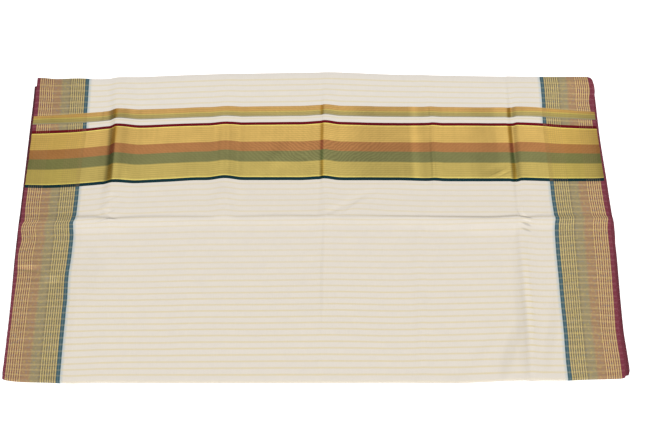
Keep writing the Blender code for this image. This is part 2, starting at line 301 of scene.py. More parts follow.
# Fine pressed lines and soft dents: from one end to the other, with how high they stand.
MARKS = table(
    "from_across from_away to_across to_away height half_width",
    (405, 352, 404, 10, -0.2, 4),
    (424, -20, 425, -240, -0.5, 5),
    (16, 352, 12, 90, -0.3, 5),
    (12, 130, 8, 8, -0.6, 7),
    (-176, 292, -176, 92, -0.4, 4),
    (-152, 288, -153, 92, -0.5, 4),
    (239, 290, 240, 92, -0.25, 4),
    (17, -10, 8, -345, 0.5, 5),
    (-352, 352, -354, 290, -0.6, 6),
    (22, 12, 72, 42, -1.7, 9),
    (58, 34, 122, 70, -1.5, 11),
    (140, -8, 200, -34, 0.5, 14),
    (-444, 278, -442, 234, -1.2, 3.5),
    (-413, 2, -397, -4, 0.9, 4),
    (-414, -9, -404, -12, 0.7, 3.5),
    (-432, 24, -408, 34, 0.7, 4),
    (-430, 12, -406, 20, 0.7, 4),
    (-428, 52, -404, 66, 0.7, 5),
    (410, -14, 431, -20, 0.8, 4),
    (411, -26, 430, -33, 0.7, 4),
    (414, 16, 421, 44, 0.6, 4),
    (352, 99, 396, 122, 0.9, 4.5),
    (348, 108, 376, 128, -0.6, 4.5),
    (-202, 232, -201, 120, -0.7, 4),
    (-400, 262, -400, 250, -0.6, 3),
    (-171, 268, -170, 232, -0.5, 3),
    (-95, 120, -40, 200, 0.6, 22),
    (300, -330, 400, -190, 0.9, 26),
    (250, -345, 330, -250, -0.8, 24),
    (362, -300, 360, -346, -0.9, 10),
    (-430, -20, -380, -120, 0.7, 24),
)

# A mark fades in and out over this part of its length, as one over it.
MARK_ENDS = 6

# How softly the ridges and the crease run into each other where they meet.
MEETING = 1.6

# The soft unevenness of handled cotton: how wide and how high its waves are.
UNEVENNESS = ((140.0, 0.55), (46.0, 0.22))

# The outer cloth: the height of its upper face, its wall, the radius of its near fold, and how far
# short of the far end the panel under the stack stops. It is never pressed further than the last
# value into the layer below.
TOP_FACE = 7.6
OUTER_WALL = 0.5
FOLD_RADIUS = TOP_FACE / 2
FOLD_STEPS = 12
UNDER_SHORT = 5.0
UNDER_STEPS = 12
DEEPEST_DIP = 0.7

# Its edges: the rounded far right corner, how the selvedges waver, and how the edges droop.
CORNER_RADIUS = 9.0
CORNER_LIMIT = 0.995
NARROWEST_SELVEDGE = 2.0
WOBBLE = 0.9
WOBBLE_LENGTH = 9.0
WOBBLE_SEED = 3.7
WOBBLE_SIDES = {"left": 0.0, "right": 5.0}
LEFT_DROOP = 0.3
RIGHT_DROOP = 0.7
DROOP_WIDTH = 12.0
END_DROOP = 1.2
END_DROOP_WIDTH = 16.0

# Lines of the grids: rows at the far end, and columns beside the selvedges and the crests.
END_ROWS = (-3.0, -1.0, 2.0, 5.0, 9.0)
EDGE_COLUMNS = (2.0, SELVEDGE_INSET, 12.0)
CREST_COLUMNS = (1.2, 2.6, 4.4, 6.8, 10, 14, 19, 25, 32)
LOWER_ROWS = (0.0, 330.0, 350.0, 357.8, 365.0, 385.0)
LOWER_CREST_COLUMNS = (8, 16, 32)
LOWER_COLUMN_SHARE = 1.3
LEAF_CREST_COLUMNS = (16, 34)
LEAF_COLUMN = 22.0
ROUNDING = 1e-9

# The two layers under the outer cloth: the height of the upper face, how much of the relief it
# follows, how far from the near fold and the far end it stops, how light the cloth and its left and
# right selvedges are, painted darker as painted shade under the layers above and darkest on the
# left, and what it replaces and rests on.
LOWER_LAYERS = {
    "second": {
        "face": 6.1,
        "follows": 0.60,
        "behind_fold": 4.0,
        "short_of_end": 20.0,
        "tones": (0.95, (0.50, 0.86)),
        "node": "second_stretch",
        "slot": "selvedge_cotton",
        "rests_on": "third_cloth",
    },
    "third": {
        "face": 4.8,
        "follows": 0.35,
        "behind_fold": 3.2,
        "short_of_end": 6.0,
        "tones": (0.85, (0.60, 0.80)),
        "node": "third_stretch",
        "slot": "dark_selvedge_cotton",
        "rests_on": "inner_folds",
    },
}
LOWER_WALL = 0.5
LOWER_DROOP = 0.5
LOWER_LENGTH_START = 1500.0

# The hidden leaves: two lengths of cloth, each folded once. Heights of their faces from the top.
LEAF_FACES = (3.40, 2.90, 2.40, 1.90)
LEAF_WALL = 0.3
LEAF_FOLLOWS = 0.15
LEAF_INSIDE = 3.0
LEAF_ROWS = 30
LEAF_TURN_STEPS = 6
LEAF_TURN_RADIUS = 0.4
LEAF_TONE = 0.9
LEAF_FAR = LAY["away"][0] - 4.0
LEAF_NEAR = LAY["away"][-1] + 4.2 - FOLD_RADIUS

SHADE_ANGLE = math.radians(60)

# How soft the woven edges are, in mm to either side.
SOFT_EDGE = 0.3

# The border from the selvedge inward: the inset where each zone ends, its colour, and how soft
# its end is. The lines are given by the insets of the first and the last, and their pitch.
BORDER_ZONES = (
    (SELVEDGE_INSET, "maroon", 0.35),
    (35.8, "outer_ground", 2.4),
    (52.5, "border_copper", 2.6),
    (69.2, "border_green", 2.4),
    (99.8, "inner_ground", 0.35),
    (TEAL_INSET, "teal", 0.35),
    (111.4, "pale_blue", 2.0),
    (GROUND_INSET, "ivory", 0.35),
)
OUTER_LINES = (9.4, 34.8, 4.2)
INNER_LINES = (72.4, 98.4, 4.3)
LINE_WIDTH = 1.5
LINE_REACH = 1.2

# The cross bands of the end panel: the length where each zone ends, its colour, and how soft its
# end is.
NARROW_BAND = (81.3, 107.0)
WIDE_BAND = (121.6, 262.8)
BAND_ZONES = (
    (93.4, "narrow_copper", 0.4),
    (96.4, "narrow_bright", 0.4),
    (104.4, "narrow_green", 0.4),
    (114.0, "narrow_foot", 0.4),
    (128.7, "band_maroon", 0.4),
    (130.8, "band_bright", 0.4),
    (169.8, "band_gold", 0.4),
    (192.8, "band_copper", 0.4),
    (218.3, "band_green", 0.4),
    (253.4, "band_near_gold", 0.4),
    (255.3, "band_bright", 0.4),
    (270.0, "band_dark_green", 0.4),
)
BANDS_START = 78.0
BANDS_END = 270.0

# How light the metallic thread of the bands lies at places across: partly uneven tone, partly
# painted shade and painted sheen in streaks where the folds tilt it.
BAND_TONE_SHADE_AND_SHEEN = (
    (-585, 1.02), (-560, 0.98), (-540, 0.96), (-500, 0.99), (-464, 1.00), (-417, 0.89),
    (-408, 0.95), (-398, 0.88), (-386, 1.08), (-368, 0.98), (-352, 1.05), (-180, 1.02),
    (-100, 1.04), (60, 1.03), (112, 0.87), (194, 0.88), (207, 1.16), (224, 0.92),
    (256, 1.04), (312, 1.04), (340, 0.93), (370, 0.94), (386, 1.10), (403, 1.10),
    (413, 0.92), (420, 1.00), (428, 1.08), (446, 1.18), (505, 1.09), (545, 0.98),
    (575, 0.86),
)
BRIGHTEST_TONE = 1.2

# Painted shade where the metallic thread is folded against itself and tilts away from the light, so
# it shows darker and warmer: from, to and softness.
FOLD_SHADE_ZONES = (
    (169.8, "fold_shade_gold", 0.4),
    (192.8, "fold_shade_copper", 0.4),
    (218.3, "fold_shade_green", 0.4),
    (270.0, "fold_shade_gold", 0.4),
)
BAND_FOLD_SHADES = ((-423.0, -413.5, 4.0), (11.5, 17.5, 3.0), (404.0, 411.0, 2.5))

# Soft oval spots of painted shade and painted highlight on the creases, folds and puckers: the
# middle across and along the length, the turn of the long axis towards the length in degrees, the
# two half lengths, and how much lighter the spot is.
LIGHT_AND_SHADE_SPOTS = (
    (399, 590, 90, 170, 16, -0.065),
    (374, 650, 109, 90, 18, -0.070),
    (452, 625, 101, 120, 15, -0.042),
    (415, 560, 90, 130, 8, 0.030),
    (397, 450, 90, 60, 12, -0.020),
    (16, 475, 91, 170, 5, -0.045),
    (-438, 472, 90, 80, 34, -0.024),
    (-468, 500, 90, 280, 11, -0.026),
    (421, 357, 12, 15, 3.4, -0.45),
    (419, 347, 60, 16, 6.0, 0.08),
    (408, 345, 75, 16, 3.0, -0.10),
    (421, 368, 13, 14, 4.5, 0.12),
    (421, 380, 14, 14, 3.6, -0.24),
    (421, 391, 17, 14, 3.6, -0.20),
    (-405, 353, -8, 15, 3.4, -0.34),
    (-406, 302, -24, 17, 3.2, -0.055),
    (-428, 318, -26, 16, 3.0, -0.045),
    (-408, 334, -34, 15, 3.2, -0.060),
    (-423, 358, -16, 15, 3.2, -0.050),
    (-420, 340, 30, 16, 4.0, -0.08),
    (-418, 328, 25, 16, 4.0, 0.06),
    (-554, 460, 4, 38, 8.0, 0.34),
    (-554, 469, 4, 38, 3.4, -0.26),
    (-511, 489, 0, 24, 14, 0.24),
    (372, 242, -27, 30, 2.6, -0.22),
    (380, 246, -27, 30, 2.6, 0.14),
    (392, 244, -27, 18, 2.6, -0.16),
    (410, 232, 90, 32, 4.0, -0.34),
    (409, 204, 90, 16, 4.5, -0.18),
    (239, 205, 90, 88, 3.6, -0.12),
    (247, 205, 90, 88, 3.0, -0.06),
    (240, 93, 90, 18, 3.6, -0.12),
    (78, 324, -41, 50, 5.0, -0.040),
    (528, 40, 90, 60, 66, 0.08),
)

# The gold weft stripes: the first one and the pitch, in the head of the cloth and below it.
HEAD_STRIPES = (14.5, 14.0)
BODY_STRIPES = (271.0, 13.24)
STRIPE_WIDTH = 3.2
STRIPE_EDGE = 1.6

# Soft noises over the cloth: how much of the way across and along each one reads, its scale in
# waves a millimetre, and its detail.
NOISES = {
    "edge_wander": (1.0, 1.0, 0.03, 2.0),
    "weft_wander": (1.0, 1.0, 0.021, 2.0),
    "fleck": (0.35, 1.0, 0.9, 3.0),
    "mottle": (1.0, 1.0, 0.035, 3.0),
    "speckle_blue": (1.0, 1.0, 0.19, 2.0),
    "speckle_gold": (1.0, 1.0, 0.17, 2.0),
    "weft_streaks": (0.05, 1.0, 0.35, 1.0),
    "patches": (0.6, 1.0, 0.036, 2.0),
    "crinkle": (1.0, 0.06, 0.16, 3.0),
    "weft_slub": (0.06, 1.0, 1.1, 2.0),
    "warp_slub": (1.0, 0.05, 1.0, 2.0),
    "wrinkles": (0.28, 1.0, 0.13, 1.0),
}
EDGE_WANDER = 1.2
WEFT_WANDER = 1.0

# Borders. Pairs are levels where a fleck or speckle starts and is full, places from and to, or a
# low and a high share. A share says how strongly a colour is laid over the cloth.
UNEVEN_LEVELS = (0.25, 0.75)
LINE_SHARES = (0.6, 1.0)
SELVEDGE_FLECK_LEVELS = (0.5, 0.72)
SELVEDGE_FLECK_SHARE = 0.5
TEAL_WIDTH = 7.4
TEAL_THREAD = (102.6, 103.6)
TEAL_THREAD_SHARE = 0.16
SPECKLE_START = (SELVEDGE_INSET, SELVEDGE_INSET + 1.5)
SPECKLE_END = (TEAL_INSET - 9.0, TEAL_INSET - 7.0)
SPECKLE_LEVELS = (0.52, 0.70)
SPECKLE_SHARE = 0.30
STREAK_SPREAD = 0.5
# The borders are painted darker towards the left, as painted shade of the light from the right: the
# tone at the middle and its change for each mm across.
BORDER_SHADE = 0.97
BORDER_SHADE_SLOPE = 0.00005
GROUND_EDGE = 2.0

# Gold weft stripes: where they start, how strong they are over each part of the cloth, where they
# gain strength along the cloth and on the crest of the right ridge, and where they fade again.
BARE_END = (6.0, 9.0)
STRIPE_SHARES = (0.22, 0.56)
STRIPES_AT_END = (60.0, 120.0, 0.12)
STRIPES_NEAR = (420.0, 560.0, 0.17)
STRIPES_ON_CREST = (409.0, 424.0, 3.0, 430.0, 640.0, 30.0, 0.2)
STRIPES_AT_FOLD = (700.0, 705.0, 0.35)
STRIPES_IN_BORDER = (0.14, 0.31)
STRIPES_IN_SELVEDGE = 0.25
STRIPES_IN_TEAL = 0.15

# Cross bands: how much later the narrow one starts at the selvedges, the fine weft lines and the
# moire over them, how the borders' lines show through, and how softly the warmer body starts.
NARROW_BAND_EDGE = 0.5
NARROWING = 6.5
NARROWING_REACH = 185.0
MIDDLE_ZONES = (169.8, 218.3)
WEFT_LINE_PITCH = 4.9
WEFT_LINE_WAVER = 0.5
WEFT_LINE_SHARES = (0.34, 0.12)
MOIRE_PITCH = 8.8
MOIRE_MIDDLE = 20.0
MOIRE_LEAN = 0.9
MOIRE_WAVER = 26.0
MOIRE_SHARES = (0.06, 0.25)
MOIRE_REACH = (-110.0, 160.0, 70.0)
MOIRE_BESIDE = (0.3, 1.0)
PATCH_SPREAD = 0.22
CRINKLE_SPREAD = 0.16
BAND_LINE_LEVELS = (0.35, 0.6)
BAND_LINE_SHARE = 0.3
BAND_BORDER_EDGE = 1.0
BODY_EDGE = 2.0

# Tones: how much each noise changes the cloth's, and how wide the change from the left selvedge's
# tone to the right one's is.
YARN_TONES = {"weft_slub": 0.10, "warp_slub": 0.08, "mottle": 0.06, "fleck": 0.06}
SIDE_CHANGE = 10.0
SPOT_CORE = 0.25

# The finish: roughness of plain and of metallic thread, where the thread is metallic, and the
# sheen of cotton.
ROUGHNESS = (0.86, 0.46)
METALLIC = 0.9
NARROW_ZARI = (78.0, 119.0)
WIDE_ZARI = (WIDE_BAND[0] + 7.4, WIDE_BAND[1] - 7.4)
BORDER_ZARI = 0.5
FINISH = {
    "Specular IOR Level": 0.15,
    "Sheen Weight": 0.03,
    "Anisotropic": 0.7,
    "Anisotropic Rotation": 0.25,
}

# The weave's own relief, and small wrinkles: places across and along, each with its softness.
THREAD_PITCH = 0.9
WEAVE_RELIEF = 0.06
WRINKLE_HEIGHT = 1.6
WRINKLED = (
    (-430.0, -398.0, 9.0, 20.0, 385.0, 30.0),
    (398.0, 432.0, 9.0, 290.0, 390.0, 20.0),
)
BUMP_STRENGTH = 0.5

# The camera aims at this place in mm from the middle of the cloth, and the soft light stands this
# far from it in metres.
AIM = (16.4, 10.2, 8.0)
SENSOR_WIDTH = 36.0
KEY_OFFSET = (0.9, -12.0, 24.0)
FLOOR_DROP = 0.0002
FLOOR_GREY = 0.92
FLOOR_ROUGHNESS = 0.9


def eased(share):
    """A share from 0 to 1, with a soft start and a soft end."""
    return share**2 * (3 - 2 * share)


def closeness(distance, reach):
    """1 at no distance and 0 from a reach away."""
    return np.clip(1 - distance / reach, 0, 1)


def bell(distance, left, right):
    """1 on a rounded crest and 0 one flank away from it, with a soft foot."""
    return eased(closeness(np.abs(distance), np.where(distance < 0, left, right)))


def along(places, values, x):
    """Values read at x along places, on a smooth curve that never overshoots them."""
    order = np.argsort(places)
    places, values = places[order], values[order]
    steps = np.diff(places)
    slopes = np.diff(values) / steps
    tangents = np.zeros_like(values)
    tangents[0], tangents[-1] = slopes[0], slopes[-1]
    before, after = slopes[:-1], slopes[1:]
    agree = before * after > 0
    tangents[1:-1][agree] = 2 * before[agree] * after[agree] / (before[agree] + after[agree])
    x = np.clip(x, places[0], places[-1])
    i = np.clip(np.searchsorted(places, x, side="right") - 1, 0, len(steps) - 1)
    t = (x - places[i]) / steps[i]
    return (
        (1 + 2 * t) * (1 - t) ** 2 * values[i]
        + t * (1 - t) ** 2 * steps[i] * tangents[i]
        + t**2 * (3 - 2 * t) * values[i + 1]
        + t**2 * (t - 1) * steps[i] * tangents[i + 1]
    )


def ridge_at(ridge, away, *names):
    """The named columns of a ridge at each depth."""
    return [along(ridge["away"], ridge[name], away) for name in names]


def weft_bow(x, away):
    """How far the weft lies away from its true place, at places on the flat cloth."""
    names = sorted(WEFT_DEPTHS, key=WEFT_DEPTHS.get)
    depths = np.array([WEFT_DEPTHS[name] for name in names])
    bows = np.array([along(WEFT["across"], WEFT[name], x) for name in names])
    i = np.clip(np.searchsorted(depths, away) - 1, 0, len(depths) - 2)
    t = np.clip((away - depths[i]) / (depths[i + 1] - depths[i]), 0, 1)
    where = np.indices(x.shape)
    bow = bows[(i, *where)] * (1 - t) + bows[(i + 1, *where)] * t
    for ridge in (*RIDGES, WRINKLE):
        names = ("across", "pull", "pull_left", "pull_right")
        crest, pull, left, right = ridge_at(ridge, away, *names)
        bow = bow + pull * bell(x - crest, left, right)
    return bow


def ridge_height(x, away):
    """How far the packing ridges stand up at places on the flat cloth."""
    height = np.zeros_like(x)
    for ridge in RIDGES:
        names = ("across", "height", "left_flank", "right_flank")
        crest, top, left, right = ridge_at(ridge, away, *names)
        height = np.maximum(height, top * bell(x - crest, left, right))
    return height


def crease_height(x, away):
    """How far the crease across the middle stands up: steep on its far side, then a long slope."""
    names = ("away", "height", "far_flank", "near_flank")
    crest, top, far_flank, near_flank = (along(CREASE["across"], CREASE[n], x) for n in names)
    past = away - crest
    steep = bell(past, near_flank, far_flank)
    slope = bell(np.maximum(past, 0), 1.0, CREASE_SLOPE)
    sloped = steep * (1 - CREASE_SLOPE_SHARE) + CREASE_SLOPE_SHARE * slope
    return top * np.where(past > 0, sloped, steep)


def mark_height(x, away):
    """How far the fine pressed lines and soft dents stand up or down."""
    height = np.zeros_like(x)
    for start_x, start_away, end_x, end_away, tallness, half_width in zip(*MARKS.values()):
        step_x, step_away = end_x - start_x, end_away - start_away
        length = math.hypot(step_x, step_away)
        share = ((x - start_x) * step_x + (away - start_away) * step_away) / length**2
        side = ((x - start_x) * step_away - (away - start_away) * step_x) / length
        ends = np.clip(np.minimum(share, 1 - share) * MARK_ENDS, 0, 1)
        height += tallness * eased(ends) * bell(side, half_width, half_width)
    return height


def relief(x, away):
    """The ridges and the crease together, rounded into each other where they meet."""
    heights = ridge_height(x, away) ** MEETING + crease_height(x, away) ** MEETING
    return heights ** (1 / MEETING)


def waves(x, away, sizes):
    """The soft unevenness of the cotton."""
    height = np.zeros_like(x)
    for width, tallness in UNEVENNESS:
        places = zip(x.ravel() / width, away.ravel() / width)
        found = [noise.noise(Vector((a, b, width))) for a, b in places]
        height += np.array(found).reshape(x.shape) * tallness
    return height * sizes.waviness


def filled(places, largest):
    """The places in order, with more between them wherever a step is longer than the largest."""
    places = sorted(set(places))
    made = [places[0]]
    for end in places[1:]:
        start = made[-1]
        steps = max(1, math.ceil((end - start) / largest - ROUNDING))
        made += [start + (end - start) * step / steps for step in range(1, steps + 1)]
    return np.array(made)


def crest_places():
    """The nominal place of each ridge's crest, which a line of the grid follows."""
    return [float(np.mean(ridge["across"])) for ridge in RIDGES]


def grid_columns(largest, steps):
    """Nominal places across of the grid's lines, close together at the edges and the crests."""
    places = [-HALF_WIDTH, HALF_WIDTH, *crest_places()]
    for inset in EDGE_COLUMNS:
        places += [-HALF_WIDTH + inset, HALF_WIDTH - inset]
    for crest in crest_places():
        places += [crest + side * step for step in steps for side in (-1, 1)]
    return filled(places, largest)


def spread_columns(columns, away, left, right):
    """X of each column at each depth: the edges and the crests stay on the columns' own lines."""
    nominal = np.array([-HALF_WIDTH, *crest_places(), HALF_WIDTH])
    crests = np.array([ridge_at(ridge, away, "across")[0] for ridge in RIDGES])
    real = np.array([left, *crests, right]).T
    return np.array([np.interp(columns, nominal, places) for places in real])


def on_each_column(values, x):
    """A value for each row, repeated for every column of x."""
    return np.repeat(values[:, None], x.shape[1], axis=1)


def shaped_grid(name, points, across, lengths):
    """A grid through rows of points in mm, with the places where they are woven as its UV map."""
    rows, columns = points.shape[:2]
    bpy.ops.object.select_all(action="DESELECT")
    bpy.ops.mesh.primitive_grid_add(
        x_subdivisions=columns - 1, y_subdivisions=rows - 1, size=1.0
    )
    piece = bpy.context.object
    piece.name = piece.data.name = name
    flat = np.zeros(len(piece.data.vertices) * 3)
    piece.data.vertices.foreach_get("co", flat)
    flat = flat.reshape(-1, 3)
    column = np.rint((flat[:, 0] + 0.5) * (columns - 1)).astype(int)
    row = np.rint((0.5 - flat[:, 1]) * (rows - 1)).astype(int)
    order = row * columns + column
    placed = points.reshape(-1, 3)[order] * MM + np.array(MIDDLE)
    piece.data.vertices.foreach_set("co", placed.ravel())
    loops = np.zeros(len(piece.data.loops), dtype=np.int32)
    piece.data.loops.foreach_get("vertex_index", loops)
    woven = np.stack([across, on_each_column(lengths, across)], axis=2).reshape(-1, 2)
    layer = piece.data.uv_layers.active or piece.data.uv_layers.new()
    layer.name = WEAVE_MAP
    layer.data.foreach_set("uv", (woven[order] * MM)[loops].ravel())
    piece.data.update()
    return piece


def finish_cloth(piece, wall, material, node):
    bpy.context.view_layer.objects.active = piece
    piece.select_set(True)
    thickness = piece.modifiers.new("thickness", "SOLIDIFY")
    thickness.thickness = wall * MM
    thickness.offset = -1.0
    thickness.use_even_offset = True
    bpy.ops.object.modifier_apply(modifier=thickness.name)
    bpy.ops.object.shade_smooth_by_angle(angle=SHADE_ANGLE)
    piece.data.materials.clear()
    piece.data.materials.append(material)
    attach(piece, "root")
    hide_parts(node)


def outer_edges(away):
    """Where the outer cloth's border lies at each depth, with its round corner and its wobble."""
    names = [name for name in BORDERS if name != "away"]
    edges = {name: along(BORDERS["away"], BORDERS[name], away) for name in names}
    into_corner = np.clip((away - LAY["away"][0]) / CORNER_RADIUS + 1, 0, CORNER_LIMIT)
    edges["right"] = edges["right"] - CORNER_RADIUS * (1 - np.sqrt(1 - into_corner**2))
    edges["right_gold"] = np.minimum(edges["right_gold"], edges["right"] - NARROWEST_SELVEDGE)
    for name, seed in WOBBLE_SIDES.items():
        places = [Vector((a / WOBBLE_LENGTH, seed, WOBBLE_SEED)) for a in away]
        edges[name] = edges[name] + WOBBLE * np.array([noise.noise(place) for place in places])
    return edges


def top_sheet(sizes):
    """Rows of the end panel, and how far across and along each place is woven."""
    crest_length = float(np.interp(-CREASE_AWAY, -LAY["away"], LAY["length"]))
    creased = [crest_length + step for step in CREASE_STEPS]
    lengths = filled([*END_ROWS, *creased, LAY["length"][-1]], sizes.row_step / MM)
    flat_away = np.interp(lengths, LAY["length"], LAY["away"])
    edges = outer_edges(flat_away)
    columns = grid_columns(sizes.column_step / MM, CREST_COLUMNS)
    x = spread_columns(columns, flat_away, edges["left"], edges["right"])
    woven = np.array([HALF_WIDTH - inset for inset in BORDER_INSETS])
    woven = np.concatenate([-woven, woven[::-1]])
    places = zip(*edges.values())
    across = np.array([np.interp(row, at, woven) for row, at in zip(x, places)])
    depth = on_each_column(flat_away, x)
    away = depth + weft_bow(x, depth)
    ridged = relief(x, away)
    height = ridged + mark_height(x, away) + waves(x, away, sizes)
    height = np.maximum(height, LOWER_LAYERS["second"]["follows"] * ridged - DEEPEST_DIP)
    height -= LEFT_DROOP * closeness(x - edges["left"][:, None], DROOP_WIDTH) ** 2
    height -= RIGHT_DROOP * closeness(edges["right"][:, None] - x, DROOP_WIDTH) ** 2
    height -= END_DROOP * closeness(lengths - lengths[0], END_DROOP_WIDTH)[:, None] ** 2
    return np.stack([x, away, TOP_FACE + height], axis=2), across, lengths


def around_fold(rows, across, lengths):
    """Carries the top rows round the near fold and back under the stack to the far end."""
    last = rows[-1]
    radius = last[:, 2] / 2
    made, made_lengths = [], []
    for step in range(1, FOLD_STEPS + 1):
        turned = math.pi * step / FOLD_STEPS
        row = last.copy()
        row[:, 1] = last[:, 1] - radius * math.sin(turned)
        row[:, 2] = radius + radius * math.cos(turned)
        made.append(row)
        made_lengths.append(lengths[-1] + FOLD_RADIUS * turned)
    start, start_length = made[-1], made_lengths[-1]
    end = start.copy()
    end[:, 1] = rows[0][:, 1] - UNDER_SHORT
    run = float(np.mean(end[:, 1] - start[:, 1]))
    for share in (step / UNDER_STEPS for step in range(1, UNDER_STEPS + 1)):
        made.append(start * (1 - share) + end * share)
        made_lengths.append(start_length + run * share)
    across = np.concatenate([across, np.repeat(across[-1:], len(made), axis=0)])
    return np.concatenate([rows, made]), across, np.concatenate([lengths, made_lengths])


def build_outer_cloth(sizes, colours):
    """The end panel, the near fold and the panel under the stack, in one piece."""
    rows, across, lengths = around_fold(*top_sheet(sizes))
    piece = shaped_grid("outer_cloth", rows, across, lengths)
    cloth = cotton("outer_weave", colours, light_and_shade_spots=LIGHT_AND_SHADE_SPOTS)
    length = lengths[-1] - lengths[0]
    finish_cloth(
        piece, OUTER_WALL, cloth, "outer_stretch"
    )


def lower_edges(layer, away):
    """Where the selvedges of a layer below the top one lie at each depth."""
    names = (f"{layer}_left", f"{layer}_right")
    return [along(LOWER_SELVEDGES["away"], LOWER_SELVEDGES[name], away) for name in names]


def evenly_across(x, left, right):
    """How far across each place is woven, with the whole width drawn in or out evenly."""
    return (x - left[:, None]) / (right - left)[:, None] * 2 * HALF_WIDTH - HALF_WIDTH


def build_lower_cloth(sizes, colours, layer):
    """A layer under the top one, which follows a share of its relief."""
    made = LOWER_LAYERS[layer]
    lengths = filled([*LOWER_ROWS, LAY["length"][-1]], sizes.lower_step / MM)
    flat_away = np.interp(lengths, LAY["length"], LAY["away"])
    left, right = lower_edges(layer, flat_away)
    columns = grid_columns(sizes.lower_step * LOWER_COLUMN_SHARE / MM, LOWER_CREST_COLUMNS)
    x = spread_columns(columns, flat_away, left, right)
    far = LAY["away"][0] - made["short_of_end"]
    near = LAY["away"][-1] + made["behind_fold"] - FOLD_RADIUS
    depth = on_each_column(np.linspace(far, near, len(lengths)), x)
    away = depth + weft_bow(x, depth)
    height = made["face"] + made["follows"] * relief(x, away)
    inset = np.minimum(x - left[:, None], right[:, None] - x)
    height -= LOWER_DROOP * closeness(inset, DROOP_WIDTH) ** 2
    rows = np.stack([x, away, height], axis=2)
    across = evenly_across(x, left, right)
    piece = shaped_grid(f"{layer}_cloth", rows, across, lengths + LOWER_LENGTH_START)
    # The layer's tones are painted shade: it lies in the shade of the layers above.
    cloth = cotton(f"{layer}_weave", colours, *made["tones"])
    finish_cloth(piece, LOWER_WALL, cloth, made["node"])


def leaf_path(upper, lower, at_far):
    """Steps along a leaf, as (depth, height, outward): on its upper face, round its fold, back."""
    run = np.linspace(LEAF_FAR, LEAF_NEAR, LEAF_ROWS)
    side = -1.0
    if at_far:
        run, side = run[::-1], 1.0
    path = [(depth, upper, 0.0) for depth in run]
    middle = (upper + lower) / 2
    for step in range(1, LEAF_TURN_STEPS):
        turned = math.pi * step / LEAF_TURN_STEPS
        height = middle + (upper - middle) * math.cos(turned)
        path.append((run[-1], height, side * LEAF_TURN_RADIUS * math.sin(turned)))
    return path + [(depth, lower, 0.0) for depth in run[::-1]]


def build_leaf(name, path):
    """One hidden length of cloth, folded once."""
    depth, level, outward = np.array(path).T
    left, right = lower_edges("third", depth)
    left, right = left + LEAF_INSIDE, right - LEAF_INSIDE
    x = spread_columns(grid_columns(LEAF_COLUMN, LEAF_CREST_COLUMNS), depth, left, right)
    away = depth[:, None] + weft_bow(x, on_each_column(depth, x))
    height = level[:, None] + LEAF_FOLLOWS * relief(x, away)
    rows = np.stack([x, away + outward[:, None], height], axis=2)
    steps = np.abs(np.diff(depth)) + np.abs(np.diff(level))
    lengths = np.concatenate([[0.0], np.cumsum(steps)]) + LOWER_LENGTH_START
    return shaped_grid(name, rows, evenly_across(x, left, right), lengths)


def build_inner_folds(colours):
    """The four hidden leaves: two lengths of cloth, each folded once, in one piece."""
    top, upper, lower, bottom = LEAF_FACES
    leaves = [
        build_leaf("leaves_0", leaf_path(top, upper, at_far=False)),
        build_leaf("leaves_1", leaf_path(lower, bottom, at_far=True)),
    ]
    for leaf in leaves:
        leaf.select_set(True)
    bpy.context.view_layer.objects.active = leaves[0]
    bpy.ops.object.join()
    piece = bpy.context.object
    piece.name = piece.data.name = "inner_folds"
    cloth = cotton("hidden_weave", colours, LEAF_TONE)
    finish_cloth(
        piece, LEAF_WALL, cloth, "inner_layers"
    )


class Value:
    """What a node works out. Values add, subtract and multiply like numbers."""

    def __init__(self, loom, socket):
        self.loom = loom
        self.socket = socket

    def __add__(self, other):
        return self.loom.math("ADD", self, other)

    def __sub__(self, other):
        return self.loom.math("SUBTRACT", self, other)

    def __rsub__(self, other):
        return self.loom.math("SUBTRACT", other, self)

    def __mul__(self, other):
        return self.loom.math("MULTIPLY", self, other)

    __radd__ = __add__
    __rmul__ = __mul__


